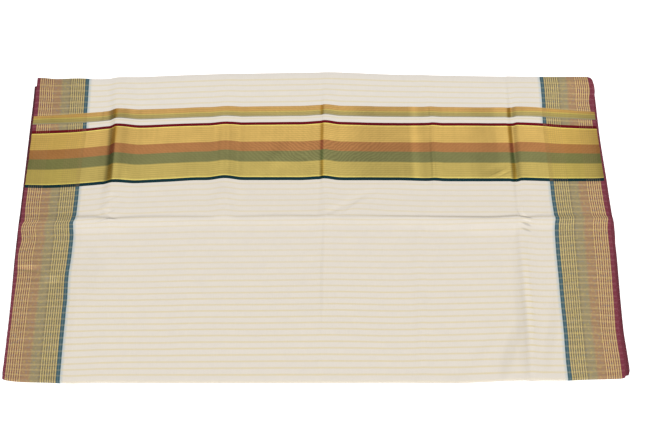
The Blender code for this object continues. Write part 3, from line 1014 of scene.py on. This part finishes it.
class Loom:
    """Lays out the nodes of a material, from values, plain numbers and the names of colours."""

    def __init__(self, name, colours):
        self.colours = colours
        self.material = bpy.data.materials.new(name)
        self.material.use_nodes = True
        self.tree = self.material.node_tree
        self.shader = self.tree.nodes["Principled BSDF"]

    def node(self, kind, **settings):
        made = self.tree.nodes.new(kind)
        for name, value in settings.items():
            setattr(made, name, value)
        return made

    def colour(self, name):
        return (*getattr(self.colours, name), 1.0)

    def feed(self, socket, value):
        if isinstance(value, Value):
            self.tree.links.new(value.socket, socket)
        else:
            socket.default_value = self.colour(value) if isinstance(value, str) else value

    def math(self, operation, *values):
        made = self.node("ShaderNodeMath", operation=operation)
        for socket, value in zip(made.inputs, values):
            self.feed(socket, value)
        return Value(self, made.outputs[0])

    def level(self, value, low, high):
        """From low where a value is 0 to high where it is 1."""
        return self.math("MULTIPLY_ADD", value, high - low, low)

    def centred(self, value, spread):
        """A value around a half, moved to lie around nought and spread."""
        return (value - 0.5) * spread

    def rise(self, value, start, end):
        """0 before start and 1 after end, softly."""
        made = self.node("ShaderNodeMapRange", interpolation_type="SMOOTHSTEP")
        self.feed(made.inputs["Value"], value)
        made.inputs["From Min"].default_value = start
        made.inputs["From Max"].default_value = end
        return Value(self, made.outputs["Result"])

    def fall(self, value, start, end):
        """1 before start and 0 after end, softly."""
        return 1.0 - self.rise(value, start, end)

    def between(self, value, start, end, soft=SOFT_EDGE):
        """1 from start to end and 0 outside, with soft edges."""
        started = self.rise(value, start - soft, start + soft)
        return started - self.rise(value, end - soft, end + soft)

    def line(self, value, first, pitch, width, soft=SOFT_EDGE):
        """1 on lines of that width, a pitch apart, and 0 between them."""
        distance = self.math("PINGPONG", value - first, pitch / 2)
        return self.fall(distance, width / 2 - soft, width / 2 + soft)

    def wave(self, value, pitch):
        """A smooth wave from 0 to 1 along a value."""
        return self.level(self.math("SINE", value * (2 * math.pi / pitch)), 0.5, 1.0)

    def vector(self, x, y):
        made = self.node("ShaderNodeCombineXYZ")
        self.feed(made.inputs["X"], x)
        self.feed(made.inputs["Y"], y)
        return Value(self, made.outputs["Vector"])

    def mix(self, share, first, second, blend="MIX"):
        made = self.node("ShaderNodeMix", data_type="RGBA", blend_type=blend)
        sockets = {socket.identifier: socket for socket in (*made.inputs, *made.outputs)}
        for name, value in (("Factor_Float", share), ("A_Color", first), ("B_Color", second)):
            self.feed(sockets[name], value)
        return Value(self, sockets["Result_Color"])

    def tint(self, colour, value):
        """A colour made lighter or darker by a value."""
        grey = self.node("ShaderNodeCombineColor")
        for socket in grey.inputs:
            self.feed(socket, value)
        return self.mix(1.0, colour, Value(self, grey.outputs[0]), "MULTIPLY")

    def stops(self, value, start, end):
        """A colour ramp along a value: its stops and its result."""
        made = self.node("ShaderNodeValToRGB")
        self.feed(made.inputs["Fac"], self.math("DIVIDE", value - start, end - start))
        return made.color_ramp, Value(self, made.outputs["Color"])

    def ramp(self, value, start, end, zones):
        """A colour for each zone along a value, with short soft steps between zones."""
        made, result = self.stops(value, start, end)
        first, last = made.elements
        first.color, last.color = self.colour(zones[0][1]), self.colour(zones[-1][1])
        for (zone_end, name, soft), (_, following, _) in zip(zones, zones[1:]):
            for offset, which in ((-soft, name), (soft, following)):
                stop = made.elements.new((zone_end + offset - start) / (end - start))
                stop.color = self.colour(which)
        return result

    def streaks(self, value, places, brightest):
        """A tone along a value, which eases from each place to the next."""
        start, end = places[0][0], places[-1][0]
        made, result = self.stops(value, start, end)
        made.interpolation = "EASE"
        made.elements.remove(made.elements[1])
        for number, (place, tone) in enumerate(places):
            at = (place - start) / (end - start)
            stop = made.elements.new(at) if number else made.elements[0]
            stop.color = (tone / brightest,) * 3 + (1.0,)
        return result * brightest

    def spot(self, vector, across, length, turn, half_long, half_wide):
        """1 in the middle of a turned oval and 0 outside it, softly."""
        placed = self.node("ShaderNodeMapping", vector_type="TEXTURE")
        self.feed(placed.inputs["Vector"], vector)
        placed.inputs["Location"].default_value = (across, length, 0.0)
        placed.inputs["Rotation"].default_value = (0.0, 0.0, math.radians(turn))
        placed.inputs["Scale"].default_value = (half_long, half_wide, 1.0)
        reach = self.node("ShaderNodeVectorMath", operation="LENGTH")
        self.feed(reach.inputs[0], Value(self, placed.outputs["Vector"]))
        return self.fall(Value(self, reach.outputs["Value"]), SPOT_CORE, 1.0)


class Cotton(Loom):
    """Handloom cotton with its selvedges, checked borders, cross bands and gold weft stripes."""

    def __init__(self, name, colours):
        super().__init__(name, colours)
        woven = self.node("ShaderNodeUVMap", uv_map=WEAVE_MAP)
        split = self.node("ShaderNodeSeparateXYZ")
        self.feed(split.inputs[0], Value(self, woven.outputs["UV"]))
        self.across = Value(self, split.outputs["X"]) * (1 / MM)
        self.length = Value(self, split.outputs["Y"]) * (1 / MM)
        self.threads = self.vector(self.across, self.length)
        self.noises = {name: self.noise(name, *how) for name, how in NOISES.items()}
        wandering = self.across + self.centred(self.noises["edge_wander"], EDGE_WANDER)
        self.inset = HALF_WIDTH - self.math("ABSOLUTE", wandering)
        self.run = self.length + self.centred(self.noises["weft_wander"], WEFT_WANDER)
        self.uneven = self.rise(self.noises["fleck"], *UNEVEN_LEVELS)
        selvedge_end = (SELVEDGE_INSET - SOFT_EDGE, SELVEDGE_INSET + SOFT_EDGE)
        self.in_selvedge = self.fall(self.inset, *selvedge_end)
        self.in_teal = self.between(self.inset, TEAL_INSET - TEAL_WIDTH, TEAL_INSET)
        self.on_ground = self.rise(self.inset, TEAL_INSET, TEAL_INSET + GROUND_EDGE)
        self.outer_line = self.border_line(*OUTER_LINES)
        self.inner_line = self.border_line(*INNER_LINES)
        self.in_bands = self.narrow_band() + self.between(self.run, *WIDE_BAND)

    def noise(self, name, across_share, along_share, scale, detail):
        """A soft noise over the cloth. The gold specks read it turned, to differ from the blue."""
        x, y = self.across * across_share, self.length * along_share
        if name == "speckle_gold":
            x, y = y, x
        made = self.node("ShaderNodeTexNoise")
        self.feed(made.inputs["Vector"], self.vector(x, y))
        made.inputs["Scale"].default_value = scale
        made.inputs["Detail"].default_value = detail
        return Value(self, made.outputs["Fac"])

    def border_line(self, first, last, pitch):
        """1 on each gold warp line of a group, which starts and ends at these insets."""
        in_group = self.between(self.inset, first - LINE_REACH, last + LINE_REACH)
        return in_group * self.line(self.inset, first, pitch, LINE_WIDTH)

    def narrow_band(self):
        """1 in the narrow band, which starts later towards the selvedges."""
        start, end = NARROW_BAND
        started = self.run - self.fall(self.inset, 0.0, NARROWING_REACH) * NARROWING
        inside = self.rise(started, start - NARROW_BAND_EDGE, start + NARROW_BAND_EDGE)
        return inside * self.fall(self.run, end - NARROW_BAND_EDGE, end + NARROW_BAND_EDGE)

    def patch(self, start, end, soft, run_start, run_end, run_soft):
        """1 in a patch of the cloth and 0 around it, softly."""
        in_width = self.between(self.across, start, end, soft)
        return in_width * self.between(self.run, run_start, run_end, run_soft)

    def borders(self):
        """The selvedge, the border with its gold warp lines and painted shade towards the left, the
        teal edge and the ground.
        """
        cloth = self.ramp(self.inset, 0.0, GROUND_INSET, BORDER_ZONES)
        share = self.level(self.uneven, *LINE_SHARES)
        cloth = self.mix(self.outer_line * share, cloth, "gold_line")
        cloth = self.mix(self.inner_line * share, cloth, "inner_line")
        flecks = self.in_selvedge * self.rise(self.noises["fleck"], *SELVEDGE_FLECK_LEVELS)
        cloth = self.mix(flecks * SELVEDGE_FLECK_SHARE, cloth, "selvedge_fleck")
        teal_thread = self.between(self.inset, *TEAL_THREAD)
        cloth = self.mix(teal_thread * TEAL_THREAD_SHARE, cloth, "pale_blue")
        speckled = self.rise(self.inset, *SPECKLE_START) * self.fall(self.inset, *SPECKLE_END)
        for name in ("speckle_blue", "speckle_gold"):
            specks = self.rise(self.noises[name], *SPECKLE_LEVELS) * speckled
            cloth = self.mix(specks * SPECKLE_SHARE, cloth, name)
        streaks = self.centred(self.noises["weft_streaks"], STREAK_SPREAD) * speckled
        cloth = self.tint(cloth, streaks + 1.0)
        # Painted shade: the borders darken towards the left, away from the light.
        shaded_to_left = self.tint(cloth, self.across * BORDER_SHADE_SLOPE + BORDER_SHADE)
        return self.mix(self.fall(self.inset, TEAL_INSET, GROUND_INSET), cloth, shaded_to_left)

    def stripe(self):
        """1 on the gold weft stripes: those of the head of the cloth, then those of its body."""
        in_head = self.math("LESS_THAN", self.run, NARROW_BAND[1])
        head = self.line(self.run, *HEAD_STRIPES, STRIPE_WIDTH, STRIPE_EDGE)
        body = self.line(self.run, *BODY_STRIPES, STRIPE_WIDTH, STRIPE_EDGE)
        stripe = head * in_head * self.rise(self.run, *BARE_END) + body * (1.0 - in_head)
        fade_start, fade_end, least = STRIPES_AT_FOLD
        return stripe * self.level(self.fall(self.run, fade_start, fade_end), least, 1.0)

    def striped(self, cloth):
        """The cloth with its gold weft stripes, as strong as they are over each part of it."""
        stripe = self.stripe()
        end_start, end_end, end_share = STRIPES_AT_END
        near_start, near_end, near_share = STRIPES_NEAR
        *crest, crest_share = STRIPES_ON_CREST
        share = self.level(self.noises["mottle"], *STRIPE_SHARES)
        share = share + self.fall(self.run, end_start, end_end) * end_share
        share = share + self.rise(self.run, near_start, near_end) * near_share
        share = share + self.patch(*crest) * crest_share
        cloth = self.mix(stripe * self.on_ground * share, cloth, "stripe")
        in_border = self.between(self.inset, SELVEDGE_INSET, TEAL_INSET - TEAL_WIDTH)
        share = self.level(self.uneven, *STRIPES_IN_BORDER)
        cloth = self.mix(stripe * in_border * share, cloth, "gold_line")
        in_selvedge = stripe * self.in_selvedge * STRIPES_IN_SELVEDGE
        cloth = self.mix(in_selvedge, cloth, "selvedge_fleck")
        return self.mix(stripe * self.in_teal * STRIPES_IN_TEAL, cloth, "stripe")

    def band_shade(self):
        """How light the bands lie: fine weft lines, moire, soft patches, and streaks of uneven tone,
        painted shade and painted sheen along the folds.
        """
        mottle = self.noises["mottle"]
        in_middle = self.between(self.run, *MIDDLE_ZONES)
        waver = self.centred(self.noises["fleck"], WEFT_LINE_WAVER)
        lines = self.wave(waver + self.run, WEFT_LINE_PITCH)
        share = mottle * self.level(in_middle, *WEFT_LINE_SHARES)
        shade = (lines - 0.5) * share + 1.0
        leaning = self.math("ABSOLUTE", self.across - MOIRE_MIDDLE) * MOIRE_LEAN
        moire = self.wave(leaning + mottle * MOIRE_WAVER + self.run, MOIRE_PITCH)
        beside = self.level(self.between(self.across, *MOIRE_REACH), *MOIRE_BESIDE)
        shade = shade + (moire - 0.5) * self.level(in_middle, *MOIRE_SHARES) * beside
        shade = shade + self.centred(self.noises["patches"], PATCH_SPREAD)
        shade = shade + self.centred(self.noises["crinkle"], CRINKLE_SPREAD)
        # The streaks along the folds are painted shade and painted sheen, with some uneven tone.
        return shade * self.streaks(self.across, BAND_TONE_SHADE_AND_SHEEN, BRIGHTEST_TONE)

    def bands(self):
        """The cross bands, with painted shade on their folds, and darker over the borders."""
        colours = self.ramp(self.run, BANDS_START, BANDS_END, BAND_ZONES)
        cloth = self.tint(colours, self.band_shade())
        # Painted shade: the folds of the metallic thread are tinted darker and warmer.
        in_fold_shade = sum(self.between(self.across, *fold) for fold in BAND_FOLD_SHADES)
        fold_shade_tints = self.ramp(self.run, BANDS_START, BANDS_END, FOLD_SHADE_ZONES)
        cloth = self.mix(in_fold_shade, cloth, fold_shade_tints, "MULTIPLY")
        crossed = self.mix(1.0, cloth, "border_in_band", "MULTIPLY")
        lines = self.outer_line + self.inner_line + self.in_teal
        lines = lines * self.rise(self.noises["fleck"], *BAND_LINE_LEVELS)
        crossed = self.mix(lines * BAND_LINE_SHARE, crossed, "border_copper")
        border_end = (TEAL_INSET - BAND_BORDER_EDGE, TEAL_INSET + BAND_BORDER_EDGE)
        on_border = self.fall(self.inset, *border_end)
        return self.mix(on_border, cloth, crossed)

    def tones(self, tone, selvedge_shade_tones, light_and_shade_spots):
        """How light the yarns are: slubs and slow changes, spots of painted shade and painted
        highlight, and selvedges darkened as painted shade.
        """
        for name, spread in YARN_TONES.items():
            tone = self.centred(self.noises[name], spread) + tone
        # Spots of painted shade and painted highlight on the creases and folds.
        for *place, lighter in light_and_shade_spots:
            tone = self.spot(self.threads, *place) * lighter + tone
        # The lower layers' selvedges are painted darker as painted shade, darkest on the left.
        left, right = selvedge_shade_tones
        rightward = self.rise(self.across, -SIDE_CHANGE, SIDE_CHANGE)
        return self.in_selvedge * self.level(rightward, left - 1.0, right - 1.0) + tone

    def weave(self, tone, selvedge_shade_tones, light_and_shade_spots):
        """Lays out the colour, the finish and the relief of the cloth."""
        cloth = self.striped(self.borders())
        body_start = (WIDE_BAND[1] - BODY_EDGE, WIDE_BAND[1] + BODY_EDGE)
        in_body = self.rise(self.run, *body_start) * self.on_ground
        cloth = self.mix(in_body, cloth, "body_warmth", "MULTIPLY")
        cloth = self.mix(self.in_bands, cloth, self.bands())
        cloth = self.tint(cloth, self.tones(tone, selvedge_shade_tones, light_and_shade_spots))
        self.feed(self.shader.inputs["Base Color"], cloth)
        self.finish()
        self.relief()

    def finish(self):
        """The roughness of cotton, and the glint of its metallic thread."""
        zari = self.in_bands * self.between(self.run, *NARROW_ZARI)
        zari = zari + self.between(self.run, *WIDE_ZARI)
        lines = (1.0 - self.in_bands) * (self.outer_line + self.inner_line)
        zari = self.math("MINIMUM", zari + lines * BORDER_ZARI, 1.0)
        shader = self.shader.inputs
        self.feed(shader["Roughness"], self.level(zari, *ROUGHNESS))
        self.feed(shader["Metallic"], zari * METALLIC)
        for name, value in FINISH.items():
            self.feed(shader[name], value)
        tangent = self.node("ShaderNodeTangent", direction_type="UV_MAP", uv_map=WEAVE_MAP)
        self.feed(shader["Tangent"], Value(self, tangent.outputs["Tangent"]))

    def relief(self):
        """The plain weave's own relief, with its slubs and small wrinkles."""
        height = self.wave(self.across, THREAD_PITCH) * self.wave(self.length, THREAD_PITCH)
        height = height + self.noises["weft_slub"] + self.noises["warp_slub"]
        wrinkled = sum(self.patch(*place) for place in WRINKLED) * (1.0 - self.in_bands)
        wrinkles = self.noises["wrinkles"] * wrinkled
        bump = self.node("ShaderNodeBump")
        bump.inputs["Strength"].default_value = BUMP_STRENGTH
        bump.inputs["Distance"].default_value = WEAVE_RELIEF * MM
        self.feed(bump.inputs["Height"], height + wrinkles * (WRINKLE_HEIGHT / WEAVE_RELIEF))
        self.feed(self.shader.inputs["Normal"], Value(self, bump.outputs["Normal"]))


def cotton(name, colours, tone=1.0, selvedge_shade_tones=(1.0, 1.0), light_and_shade_spots=()):
    """A cloth material that is so light, with its left and right selvedges as light, and its spots
    of painted shade and painted highlight.
    """
    cloth = Cotton(name, colours)
    cloth.weave(tone, selvedge_shade_tones, light_and_shade_spots)
    return cloth.material


def amount(name, description, default, **kind):
    """A property that holds a size, an angle or a strength."""
    return FloatProperty(name=name, description=description, default=default, **kind)


def rgb(name, description, default):
    """A property that holds a colour."""
    kind = {"subtype": "COLOR", "size": 3, "min": 0.0, "max": 1.0}
    return FloatVectorProperty(name=name, description=description, default=default, **kind)


class SareeSizes(bpy.types.PropertyGroup):
    """Sizes of the cloth and of its grids."""

    row_step: amount("Row step", "Longest step between rows on top", 0.0052, unit="LENGTH")
    column_step: amount("Column step", "The same between columns on top", 0.0058, unit="LENGTH")
    lower_step: amount("Lower step", "Longest step in the lower layers", 0.012, unit="LENGTH")
    waviness: amount("Waviness", "How uneven it lies", 1.0, subtype="FACTOR", min=0.0, max=2.0)


class SareeColours(bpy.types.PropertyGroup):
    """Colours of the yarns, as the woven zones show them."""

    ivory: rgb("Ivory", "The plain ground", (0.738, 0.686, 0.615))
    body_warmth: rgb("Body warmth", "Tint of the ground below the bands", (0.980, 0.968, 0.950))
    stripe: rgb("Stripe", "Gold weft stripe on the ground", (0.695, 0.575, 0.280))
    maroon: rgb("Maroon", "The selvedges", (0.178, 0.029, 0.048))
    selvedge_fleck: rgb("Selvedge fleck", "Pale flecks in the selvedges", (0.36, 0.15, 0.17))
    border_in_band: rgb("Border in band", "Tint of the borders in the bands", (0.93, 0.93, 0.80))
    outer_ground: rgb("Outer ground", "Between the outer gold lines", (0.240, 0.118, 0.084))
    border_copper: rgb("Border copper", "Copper stripe of the border", (0.347, 0.209, 0.114))
    border_green: rgb("Border green", "Green stripe of the border", (0.302, 0.245, 0.135))
    inner_ground: rgb("Inner ground", "Between the inner gold lines", (0.200, 0.160, 0.096))
    gold_line: rgb("Gold line", "Outer gold lines", (0.795, 0.578, 0.247))
    inner_line: rgb("Inner line", "Inner gold lines", (0.728, 0.588, 0.246))
    speckle_blue: rgb("Speckle blue", "Cool specks in the borders", (0.200, 0.235, 0.260))
    speckle_gold: rgb("Speckle gold", "Bright specks in the borders", (0.550, 0.430, 0.110))
    teal: rgb("Teal", "Inner edge of the border", (0.045, 0.105, 0.129))
    pale_blue: rgb("Pale blue", "Beside the teal line", (0.558, 0.589, 0.577))
    narrow_copper: rgb("Narrow copper", "Far half of the narrow band", (0.592, 0.357, 0.117))
    narrow_bright: rgb("Narrow bright", "Middle line of the narrow band", (0.570, 0.445, 0.130))
    narrow_green: rgb("Narrow green", "Near half of the narrow band", (0.440, 0.350, 0.130))
    narrow_foot: rgb("Narrow foot", "Near edge of the narrow band", (0.372, 0.335, 0.220))
    band_maroon: rgb("Band maroon", "Far line of the wide band", (0.125, 0.000, 0.006))
    band_bright: rgb("Band bright", "Bright lines of the wide band", (0.960, 0.790, 0.200))
    band_gold: rgb("Band gold", "Far gold zone", (0.656, 0.436, 0.129))
    band_copper: rgb("Band copper", "Copper zone", (0.433, 0.199, 0.073))
    band_green: rgb("Band green", "Green zone", (0.219, 0.211, 0.084))
    band_near_gold: rgb("Band near gold", "Near gold zone", (0.529, 0.404, 0.118))
    # The fold colours are painted shade, laid over the bands on their folds.
    fold_shade_gold: rgb("Fold gold", "Tint of the folds in the gold zones", (1.0, 0.82, 0.44))
    fold_shade_copper: rgb("Fold copper", "Tint of the folds in the copper zone", (1.0, 0.66, 0.72))
    fold_shade_green: rgb("Fold green", "Tint of the folds in the green zone", (0.80, 0.95, 0.80))
    band_dark_green: rgb("Band dark green", "Near line of the wide band", (0.000, 0.024, 0.032))



class SareeStudio(bpy.types.PropertyGroup):
    """The camera, the lights and the floor."""

    focal_length: amount("Focal length", "Lens, in mm on a 36 mm wide frame", 76.862)
    distance: amount("Distance", "From the lens to the point it aims at", 2.76, unit="LENGTH")
    pitch: amount("Pitch", "How far it looks down", math.radians(61.01), subtype="ANGLE")
    yaw: amount("Yaw", "Turn about the vertical", math.radians(-0.618), subtype="ANGLE")
    roll: amount("Roll", "Turn about the line of sight", math.radians(0.421), subtype="ANGLE")
    sky: amount("Sky", "Strength of the even light overhead", 0.56)
    horizon: amount("Horizon", "Strength of the even light at the horizon", 0.13)
    key: amount("Key", "Power of the soft light from the front", 5750.0, unit="POWER")
    key_width: amount("Key width", "Width of the soft light", 17.2, unit="LENGTH")
    key_height: amount("Key height", "Height of the soft light", 12.4, unit="LENGTH")
    floor_glow: amount("Floor glow", "How strongly the sweep is lit through", 0.5)
    floor_size: amount("Floor size", "Side of the pale floor", 60.0, unit="LENGTH")


def build_camera(studio):
    """The camera that the photograph was fitted to."""
    cos, sin = math.cos, math.sin
    yaw, pitch, roll = studio.yaw, studio.pitch, studio.roll
    right = Vector((cos(yaw), sin(yaw), 0.0))
    ahead = Vector((-sin(yaw) * cos(pitch), cos(yaw) * cos(pitch), -sin(pitch)))
    up = right.cross(ahead)
    rolled_right = cos(roll) * right + sin(roll) * up
    rolled_up = cos(roll) * up - sin(roll) * right
    bpy.ops.object.camera_add()
    camera = bpy.context.object
    camera.name = "camera"
    turned = Matrix((rolled_right, rolled_up, -ahead)).transposed()
    place = MIDDLE + Vector(AIM) * MM - ahead * studio.distance
    camera.matrix_world = Matrix.Translation(place) @ turned.to_4x4()
    camera.data.sensor_width = SENSOR_WIDTH
    camera.data.lens = studio.focal_length
    bpy.context.scene.camera = camera


def build_lights(studio):
    """An even sky, darker at the horizon, and one large soft light."""
    world = bpy.data.worlds.new("studio_sky")
    world.use_nodes = True
    nodes, links = world.node_tree.nodes, world.node_tree.links
    background = nodes["Background"]
    background.inputs["Color"].default_value = (1.0, 1.0, 1.0, 1.0)
    direction = nodes.new("ShaderNodeTexCoord")
    split = nodes.new("ShaderNodeSeparateXYZ")
    rise = nodes.new("ShaderNodeMapRange")
    links.new(direction.outputs["Generated"], split.inputs[0])
    links.new(split.outputs["Z"], rise.inputs["Value"])
    links.new(rise.outputs["Result"], background.inputs["Strength"])
    rise.inputs["To Min"].default_value = studio.horizon
    rise.inputs["To Max"].default_value = studio.sky
    bpy.context.scene.world = world
    place = MIDDLE + Vector(KEY_OFFSET)
    bpy.ops.object.light_add(type="AREA", location=place)
    key = bpy.context.object
    key.name = "key_light"
    key.data.shape = "RECTANGLE"
    key.data.size = studio.key_width
    key.data.size_y = studio.key_height
    key.data.energy = studio.key
    key.rotation_mode = "QUATERNION"
    key.rotation_quaternion = (MIDDLE - place).to_track_quat("-Z", "Y")


def build_floor(studio):
    """The pale sweep under the cloth, lit a little from within."""
    bpy.ops.object.select_all(action="DESELECT")
    bpy.ops.mesh.primitive_plane_add(size=studio.floor_size, location=(0.0, 0.0, -FLOOR_DROP))
    floor = bpy.context.object
    floor.name = floor.data.name = "floor"
    bpy.ops.object.transform_apply(location=True, rotation=False, scale=False)
    material = bpy.data.materials.new("pale_sweep")
    material.use_nodes = True
    shader = material.node_tree.nodes["Principled BSDF"].inputs
    shader["Base Color"].default_value = (FLOOR_GREY, FLOOR_GREY, FLOOR_GREY, 1.0)
    shader["Roughness"].default_value = FLOOR_ROUGHNESS
    shader["Emission Color"].default_value = (1.0, 1.0, 1.0, 1.0)
    shader["Emission Strength"].default_value = studio.floor_glow
    floor.data.materials.append(material)


class SAREE_OT_outer_cloth(bpy.types.Operator):
    """Make the end panel, the near fold and the panel under the stack"""

    bl_idname = "saree.outer_cloth"
    bl_label = "Outer cloth"

    def execute(self, context):
        build_outer_cloth(context.scene.saree_sizes, context.scene.saree_colours)
        return {"FINISHED"}


class SAREE_OT_lower_cloths(bpy.types.Operator):
    """Make the two layers whose selvedges show beside the end panel"""

    bl_idname = "saree.lower_cloths"
    bl_label = "Lower cloths"

    def execute(self, context):
        sizes, colours = context.scene.saree_sizes, context.scene.saree_colours
        for layer in LOWER_LAYERS:
            build_lower_cloth(sizes, colours, layer)
        return {"FINISHED"}


class SAREE_OT_inner_folds(bpy.types.Operator):
    """Make the four hidden leaves"""

    bl_idname = "saree.inner_folds"
    bl_label = "Inner folds"

    def execute(self, context):
        build_inner_folds(context.scene.saree_colours)
        return {"FINISHED"}


class SAREE_OT_studio(bpy.types.Operator):
    """Make the pale floor, the soft lights and the camera"""

    bl_idname = "saree.studio"
    bl_label = "Studio"

    def execute(self, context):
        studio = context.scene.saree_studio
        build_floor(studio)
        build_lights(studio)
        build_camera(studio)
        context.scene.view_settings.view_transform = "Standard"
        return {"FINISHED"}


OPERATORS = (SAREE_OT_outer_cloth, SAREE_OT_lower_cloths, SAREE_OT_inner_folds, SAREE_OT_studio)


class SAREE_PT_sidebar(bpy.types.Panel):
    """The steps that make the saree"""

    bl_idname = "SAREE_PT_sidebar"
    bl_label = "Saree"
    bl_space_type = "VIEW_3D"
    bl_region_type = "UI"
    bl_category = "Saree"

    def draw(self, context):
        for operator in OPERATORS:
            self.layout.operator(operator.bl_idname)


GROUPS = {
    "saree_sizes": SareeSizes,
    "saree_colours": SareeColours,
    "saree_studio": SareeStudio,
}


def register():
    for name, group in GROUPS.items():
        bpy.utils.register_class(group)
        setattr(bpy.types.Scene, name, PointerProperty(type=group))
    for made in (*OPERATORS, SAREE_PT_sidebar):
        bpy.utils.register_class(made)


def unregister():
    for made in (SAREE_PT_sidebar, *reversed(OPERATORS)):
        bpy.utils.unregister_class(made)
    for name, group in reversed(GROUPS.items()):
        delattr(bpy.types.Scene, name)
        bpy.utils.unregister_class(group)


def main():
    register()
    for operator in OPERATORS:
        folder, name = operator.bl_idname.split(".")
        getattr(getattr(bpy.ops, folder), name)()


if __name__ == "__main__":
    main()
